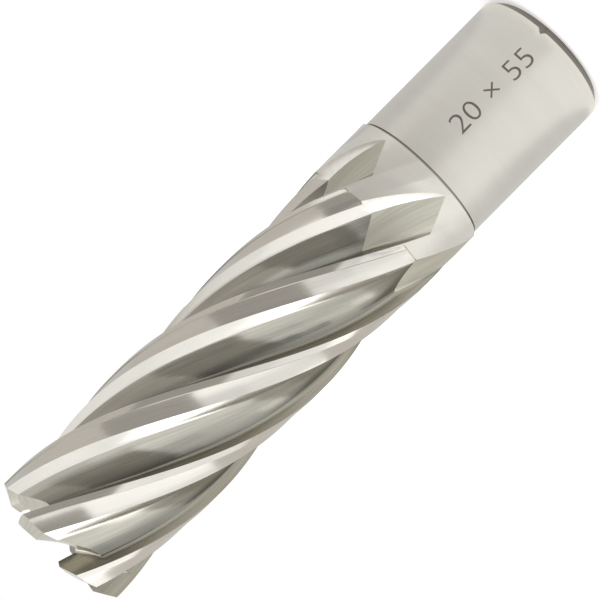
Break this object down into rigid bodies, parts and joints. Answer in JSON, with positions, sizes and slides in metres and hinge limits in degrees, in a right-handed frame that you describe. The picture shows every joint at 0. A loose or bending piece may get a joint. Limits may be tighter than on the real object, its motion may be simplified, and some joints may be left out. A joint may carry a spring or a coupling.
{
  "type": "annular cutter",
  "caption": "One-piece annular cutter: a plain shank with drive flats, a fluted hollow body and a toothed end that cuts a ring and leaves a core.",
  "frame": {"origin": "centre of the shank's flat end, on which the cutter stands", "axes": "+Z along the axis from the shank to the teeth, -Y towards the viewer, drive flats on the +Y side"},
  "size_m": [0.02, 0.02, 0.087],
  "materials": {
    "ground_steel": "ground high-speed steel, satin on the shank and brighter on the flutes"
  },
  "bodies": {
    "root": {"cutter_body": "ground_steel"}
  },
  "joints": []
}
